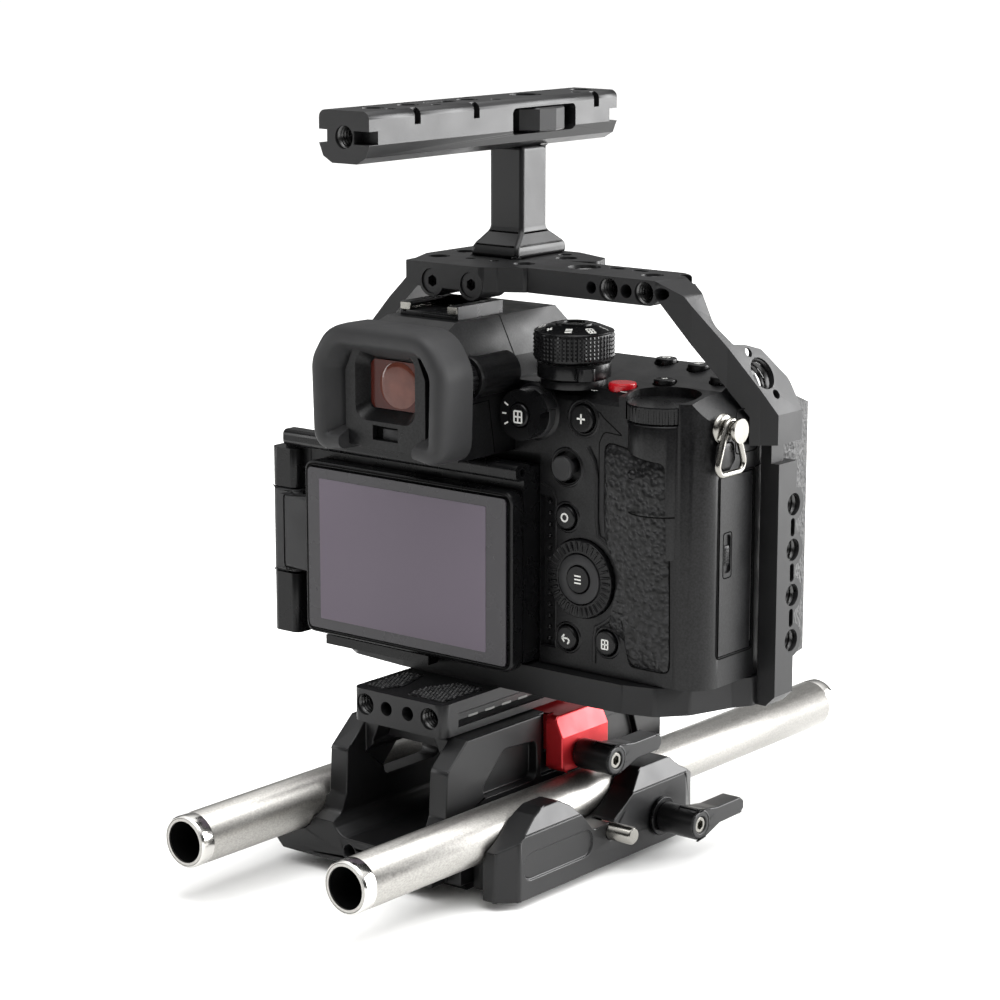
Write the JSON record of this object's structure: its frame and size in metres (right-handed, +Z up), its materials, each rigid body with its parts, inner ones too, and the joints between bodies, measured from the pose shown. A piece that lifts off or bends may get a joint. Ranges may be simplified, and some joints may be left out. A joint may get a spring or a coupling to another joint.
{
  "type": "cinema camera rig",
  "caption": "Mirrorless camera in a bolt-on cage with a top handle, on a quick-release riser that clamps two parallel stainless support rods.",
  "frame": {"origin": "mouth of the central tripod thread in the dovetail shoe's bottom face", "axes": "+Z up, +Y forward along the rods and the lens axis, +X to the operator's right, the camera's grip side"},
  "size_m": [0.157, 0.2305, 0.2197],
  "materials": {
    "black_anodised": "satin black anodised",
    "steel": "ground stainless, polished rims",
    "bright_steel": "turned stainless",
    "dark_steel": "black oxide",
    "red_anodised": "satin red anodised",
    "body_plastic": "fine-grained black moulding",
    "control_plastic": "smooth black",
    "record_red": "glossy red",
    "grip_rubber": "leather-grained",
    "eyecup_rubber": "smooth matt",
    "screen_glass": "coated cover glass over a dark display",
    "finder_glass": "coated eyepiece lens",
    "screen_plastic": "fine matt",
    "mount_steel": "turned"
  },
  "bodies": {
    "base": {"riser_body": "black_anodised", "dovetail_shoe": "black_anodised", "left_rod_clamp": "black_anodised", "base_screws": "dark_steel"},
    "left_rod_body": {"left_rod": "steel"},
    "right_rod_body": {"right_rod": "steel"},
    "rod_clamp": {"right_clamp_arm": "black_anodised"},
    "rod_clamp_lever": {"arm_lever": "black_anodised", "lever_washer": "dark_steel", "arm_lever_screw": "bright_steel"},
    "release": {"release_pin": "bright_steel"},
    "plate_jaw": {"clamp_jaw": "red_anodised"},
    "plate_lever": {"jaw_lever": "black_anodised", "jaw_lever_screw": "bright_steel"},
    "head": {"quick_plate": "black_anodised", "plate_pads": "grip_rubber", "cage_base": "black_anodised", "cage_side": "black_anodised", "cage_top": "black_anodised", "cage_left": "black_anodised", "cage_screws": "dark_steel", "handle_post": "black_anodised", "handle_bar": "black_anodised", "camera_body": "body_plastic", "camera_grip": "grip_rubber", "viewfinder_housing": "body_plastic", "eyecup": "eyecup_rubber", "eyepiece_glass": "finder_glass", "hot_shoe": "bright_steel", "thumb_rubber": "grip_rubber", "lens_mount_ring": "mount_steel", "strap_lugs": "bright_steel"},
    "thumbwheel": {"handle_wheel": "black_anodised"},
    "cap": {"body_cap": "control_plastic"},
    "mode": {"mode_dial": "control_plastic"},
    "mode_collar": {"mode_dial_lever": "control_plastic"},
    "rear_top_dial": {"thumb_dial": "control_plastic"},
    "front_top_dial": {"front_dial": "control_plastic"},
    "diopter": {"diopter_dial": "control_plastic"},
    "wheel": {"rear_wheel": "control_plastic"},
    "focus_mode": {"af_lever": "control_plastic"},
    "focus_push": {"af_button": "control_plastic"},
    "stick": {"joystick": "control_plastic"},
    "door": {"card_door": "body_plastic"},
    "ring": {"strap_ring": "bright_steel"},
    "tilt_frame": {"tilt_bracket": "screen_plastic"},
    "screen": {"screen_hinge": "screen_plastic", "screen_panel": "screen_plastic", "screen_glass": "screen_glass"},
    "record_button_key": {"record_button": "record_red"},
    "exposure_button_key": {"exposure_button": "control_plastic"},
    "balance_button_key": {"balance_button": "control_plastic"},
    "gain_button_key": {"gain_button": "control_plastic"},
    "shift_button_key": {"shift_button": "control_plastic"},
    "shutter_button_key": {"shutter_button": "control_plastic"},
    "focus_start_button_key": {"focus_start_button": "control_plastic"},
    "quick_menu_button_key": {"quick_menu_button": "control_plastic"},
    "return_button_key": {"return_button": "control_plastic"},
    "display_button_key": {"display_button": "control_plastic"},
    "set_button_key": {"set_button": "control_plastic"}
  },
  "joints": [
    {"name": "left_rod_slide", "type": "slide", "parent": "base", "child": "left_rod_body", "axis": [0, 1, 0], "range_m": [-0.04, 0.04]},
    {"name": "right_rod_slide", "type": "slide", "parent": "base", "child": "right_rod_body", "axis": [0, 1, 0], "range_m": [-0.04, 0.04]},
    {"name": "rod_clamp_release", "type": "slide", "parent": "base", "child": "rod_clamp", "axis": [1, 0, 0], "range_m": [0, 0.0025]},
    {"name": "rod_lever_swing", "type": "hinge", "parent": "rod_clamp", "child": "rod_clamp_lever", "pos_m": [0.047, 0.026, 0.0105], "axis": [1, 0, 0], "range_deg": [0, 140]},
    {"name": "release_push", "type": "slide", "parent": "rod_clamp", "child": "release", "axis": [-1, 0, 0], "range_m": [0, 0.003], "stiffness_N_per_m": 200},
    {"name": "jaw_release", "type": "slide", "parent": "base", "child": "plate_jaw", "axis": [1, 0, 0], "range_m": [0, 0.003]},
    {"name": "jaw_lever_swing", "type": "hinge", "parent": "plate_jaw", "child": "plate_lever", "pos_m": [0.029, 0.0095, 0.0305], "axis": [1, 0, 0], "range_deg": [0, 60]},
    {"name": "plate_slide", "type": "slide", "parent": "base", "child": "head", "axis": [0, 1, 0], "range_m": [-0.02, 0.02]},
    {"name": "thumbwheel_turn", "type": "hinge", "parent": "head", "child": "thumbwheel", "pos_m": [0, 0.0193, 0.213], "axis": [0, 0, 1], "continuous": true},
    {"name": "cap_twist", "type": "hinge", "parent": "head", "child": "cap", "pos_m": [0, 0.03, 0.102], "axis": [0, 1, 0], "range_deg": [0, 45]},
    {"name": "mode_turn", "type": "hinge", "parent": "head", "child": "mode", "pos_m": [0.0353, -0.003, 0.153], "axis": [0, 0, 1], "continuous": true},
    {"name": "mode_collar_turn", "type": "hinge", "parent": "head", "child": "mode_collar", "pos_m": [0.0353, -0.003, 0.146], "axis": [0, 0, 1], "range_deg": [-20, 20]},
    {"name": "rear_top_dial_turn", "type": "hinge", "parent": "head", "child": "rear_top_dial", "pos_m": [0.0662, -0.003, 0.138], "axis": [0, 0, 1], "continuous": true},
    {"name": "front_dial_turn", "type": "hinge", "parent": "head", "child": "front_top_dial", "pos_m": [0.066, 0.0484, 0.129], "axis": [1, 0, 0], "continuous": true},
    {"name": "diopter_turn", "type": "hinge", "parent": "head", "child": "diopter", "pos_m": [0.0166, -0.031, 0.145], "axis": [0, 1, 0], "continuous": true},
    {"name": "wheel_turn", "type": "hinge", "parent": "head", "child": "wheel", "pos_m": [0.0428, -0.0085, 0.0883], "axis": [0, 1, 0], "continuous": true},
    {"name": "focus_mode_turn", "type": "hinge", "parent": "head", "child": "focus_mode", "pos_m": [0.0262, -0.013, 0.134], "axis": [0, 1, 0], "range_deg": [-25, 25]},
    {"name": "focus_push_press", "type": "slide", "parent": "focus_mode", "child": "focus_push", "axis": [0, 1, 0], "range_m": [0, 0.0006], "stiffness_N_per_m": 300},
    {"name": "stick_rock", "type": "hinge", "parent": "head", "child": "stick", "pos_m": [0.0372, -0.0066, 0.1194], "axis": [1, 0, 0], "range_deg": [-6, 6], "stiffness_Nm_per_rad": 0.02},
    {"name": "door_swing", "type": "hinge", "parent": "head", "child": "door", "pos_m": [0.08235, 0.0154, 0.0955], "axis": [0, 0, 1], "range_deg": [0, 90]},
    {"name": "ring_swing", "type": "hinge", "parent": "head", "child": "ring", "pos_m": [0.0862, 0.0005, 0.1345], "axis": [1, 0, 0], "range_deg": [-60, 60]},
    {"name": "screen_tilt", "type": "hinge", "parent": "head", "child": "tilt_frame", "pos_m": [0, -0.0152, 0.1176], "axis": [1, 0, 0], "range_deg": [-45, 0]},
    {"name": "screen_swing", "type": "hinge", "parent": "tilt_frame", "child": "screen", "pos_m": [-0.0612, -0.0142, 0.088], "axis": [0, 0, 1], "range_deg": [-175, 0]},
    {"name": "record_button_press", "type": "slide", "parent": "head", "child": "record_button_key", "axis": [0, 0, -1], "range_m": [0, 0.0008], "stiffness_N_per_m": 300},
    {"name": "exposure_button_press", "type": "slide", "parent": "head", "child": "exposure_button_key", "axis": [0, 0, -1], "range_m": [0, 0.0008], "stiffness_N_per_m": 300},
    {"name": "balance_button_press", "type": "slide", "parent": "head", "child": "balance_button_key", "axis": [0, 0, -1], "range_m": [0, 0.0008], "stiffness_N_per_m": 300},
    {"name": "gain_button_press", "type": "slide", "parent": "head", "child": "gain_button_key", "axis": [0, 0, -1], "range_m": [0, 0.0008], "stiffness_N_per_m": 300},
    {"name": "shift_button_press", "type": "slide", "parent": "head", "child": "shift_button_key", "axis": [0, 0, -1], "range_m": [0, 0.0008], "stiffness_N_per_m": 300},
    {"name": "shutter_button_press", "type": "slide", "parent": "head", "child": "shutter_button_key", "axis": [0, 0, -1], "range_m": [0, 0.0008], "stiffness_N_per_m": 300},
    {"name": "focus_start_button_press", "type": "slide", "parent": "head", "child": "focus_start_button_key", "axis": [0, 1, 0], "range_m": [0, 0.0008], "stiffness_N_per_m": 300},
    {"name": "quick_menu_button_press", "type": "slide", "parent": "head", "child": "quick_menu_button_key", "axis": [0, 1, 0], "range_m": [0, 0.0008], "stiffness_N_per_m": 300},
    {"name": "return_button_press", "type": "slide", "parent": "head", "child": "return_button_key", "axis": [0, 1, 0], "range_m": [0, 0.0008], "stiffness_N_per_m": 300},
    {"name": "display_button_press", "type": "slide", "parent": "head", "child": "display_button_key", "axis": [0, 1, 0], "range_m": [0, 0.0008], "stiffness_N_per_m": 300},
    {"name": "set_button_press", "type": "slide", "parent": "head", "child": "set_button_key", "axis": [0, 1, 0], "range_m": [0, 0.0008], "stiffness_N_per_m": 300}
  ]
}
